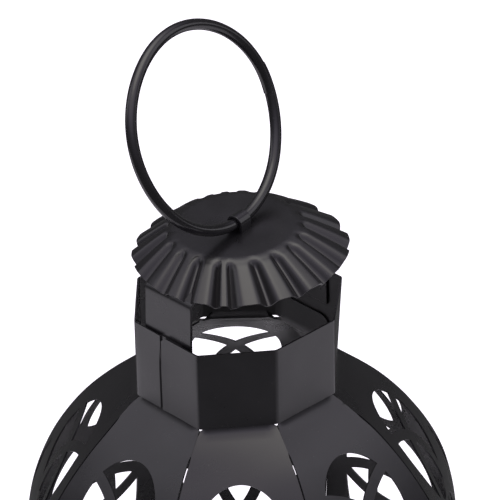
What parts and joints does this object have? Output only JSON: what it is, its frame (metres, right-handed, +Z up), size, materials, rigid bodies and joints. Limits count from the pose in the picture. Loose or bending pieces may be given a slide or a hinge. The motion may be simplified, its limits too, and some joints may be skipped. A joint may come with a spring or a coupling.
{
  "type": "candle lantern",
  "caption": "Octagonal globe-shaped candle lantern of pierced black sheet metal, with a fluted cap, a hanging ring, a hinged door with a turn latch and a candle cup.",
  "frame": {"origin": "centre of the octagonal foot, on the surface that the lantern stands on", "axes": "+Z up through the neck and cap; -Y out of the front panel, +Y out of the back panel; the door is the back-left panel, which faces -X and +Y"},
  "size_m": [0.1282, 0.1311, 0.2609],
  "materials": {
    "sheet_paint": "satin black enamel on tinned sheet steel",
    "wire_paint": "semi-gloss black enamel on steel wire and strip"
  },
  "bodies": {
    "lantern": {"panel_front": "sheet_paint", "panel_front_right": "sheet_paint", "panel_right": "sheet_paint", "panel_back_right": "sheet_paint", "panel_back": "sheet_paint", "panel_left": "sheet_paint", "panel_front_left": "sheet_paint", "neck_collar": "sheet_paint", "foot_band": "sheet_paint", "base_plate": "sheet_paint", "candle_cup": "sheet_paint", "cup_rivet": "sheet_paint", "fluted_cap": "sheet_paint", "cap_bracket": "sheet_paint", "ring_clip": "wire_paint", "hinge_leaf_fixed": "sheet_paint", "hinge_pin": "sheet_paint"},
    "door": {"door_panel": "sheet_paint", "hinge_leaf_door": "sheet_paint"},
    "latch": {"latch_spindle": "sheet_paint", "latch_lever": "sheet_paint", "latch_cam": "sheet_paint"},
    "ring": {"hanging_ring": "wire_paint"}
  },
  "joints": [
    {"name": "ring_tilt", "type": "hinge", "parent": "lantern", "child": "ring", "pos_m": [0.001, 0, 0.2074], "axis": [0.6157, 0.788, 0], "range_deg": [-64, 110]},
    {"name": "door_swing", "type": "hinge", "parent": "lantern", "child": "door", "pos_m": [-0.02714, 0.06553, 0.0832], "axis": [0, 0, -1], "range_deg": [0, 135]},
    {"name": "latch_turn", "type": "hinge", "parent": "door", "child": "latch", "pos_m": [-0.06102, 0.02963, 0.0832], "axis": [-0.7071, 0.7071, 0], "range_deg": [0, 90]}
  ]
}
